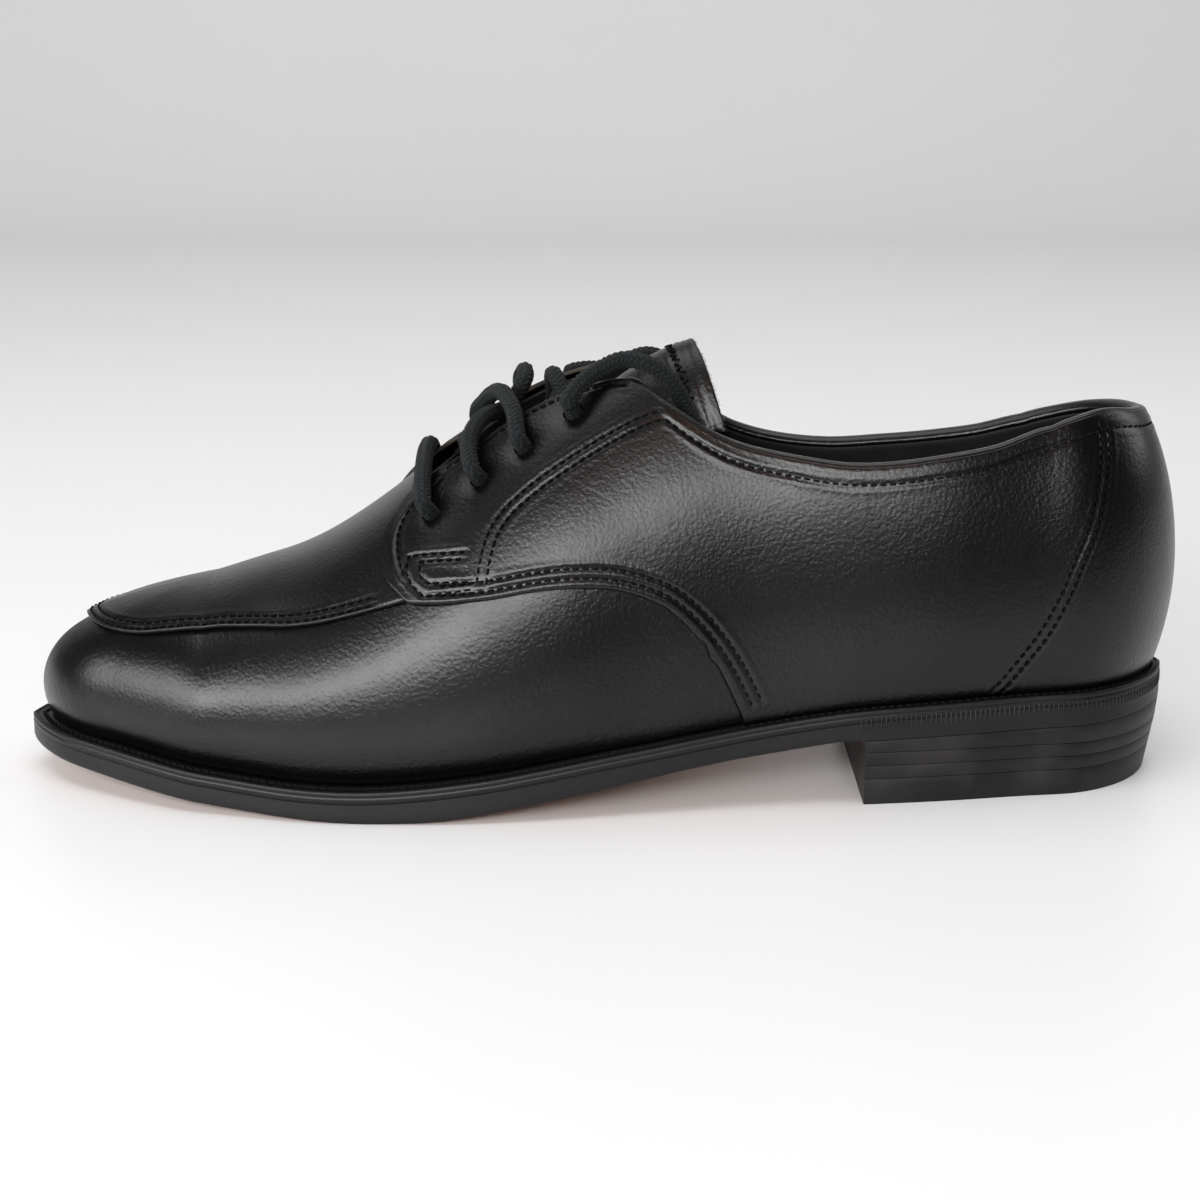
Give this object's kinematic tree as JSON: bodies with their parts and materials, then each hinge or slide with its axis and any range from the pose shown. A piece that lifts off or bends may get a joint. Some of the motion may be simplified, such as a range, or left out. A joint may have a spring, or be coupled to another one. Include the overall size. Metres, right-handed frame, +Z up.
{
  "type": "derby shoe",
  "caption": "Black leather lace-up shoe for the left foot with an apron toe, open lacing, leather sole and stacked heel",
  "frame": {"origin": "centre of the shoe's footprint box, on the ground", "axes": "+X from toe to heel, +Y to the inner side of the foot, +Z up"},
  "size_m": [0.3044, 0.1008, 0.1145],
  "materials": {
    "calf": "satin",
    "lining": "matte",
    "edge": "satin",
    "sole": "satin",
    "top_piece": "matte",
    "board": "matte",
    "stiffener": "matte",
    "cork": "matte",
    "steel": "satin",
    "cord": "matte",
    "aglet": "gloss"
  },
  "bodies": {
    "shoe": {"vamp": "calf", "apron": "calf", "quarter_outer": "calf", "quarter_inner": "calf", "topline_bead": "calf", "vamp_lining": "lining", "quarter_lining": "lining", "toe_puff": "stiffener", "heel_counter": "stiffener", "eyelet_stay_outer": "stiffener", "eyelet_stay_inner": "stiffener", "eyelet_outer_1": "steel", "eyelet_outer_2": "steel", "eyelet_outer_3": "steel", "eyelet_outer_4": "steel", "eyelet_inner_1": "steel", "eyelet_inner_2": "steel", "eyelet_inner_3": "steel", "eyelet_inner_4": "steel", "lace": "cord", "lace_tail_outer": "cord", "lace_tail_inner": "cord", "aglet_outer": "aglet", "aglet_inner": "aglet", "welt": "edge", "outsole": "sole", "cork_filler": "cork", "shank": "steel", "insole": "board", "sock_lining": "lining", "heel_top_piece": "top_piece", "heel_lift_3": "edge", "heel_lift_2": "edge", "heel_lift_1": "edge", "heel_nail_1": "steel", "heel_nail_2": "steel", "heel_nail_3": "steel", "heel_nail_4": "steel", "heel_nail_5": "steel"},
    "tongue": {"tongue": "calf", "tongue_lining": "lining"}
  },
  "joints": [
    {"name": "tongue_hinge", "type": "hinge", "parent": "shoe", "child": "tongue", "pos_m": [-0.0393, 0.003, 0.0737], "axis": [0, 1, 0], "range_deg": [0, 12], "stiffness_Nm_per_rad": 0.01}
  ]
}
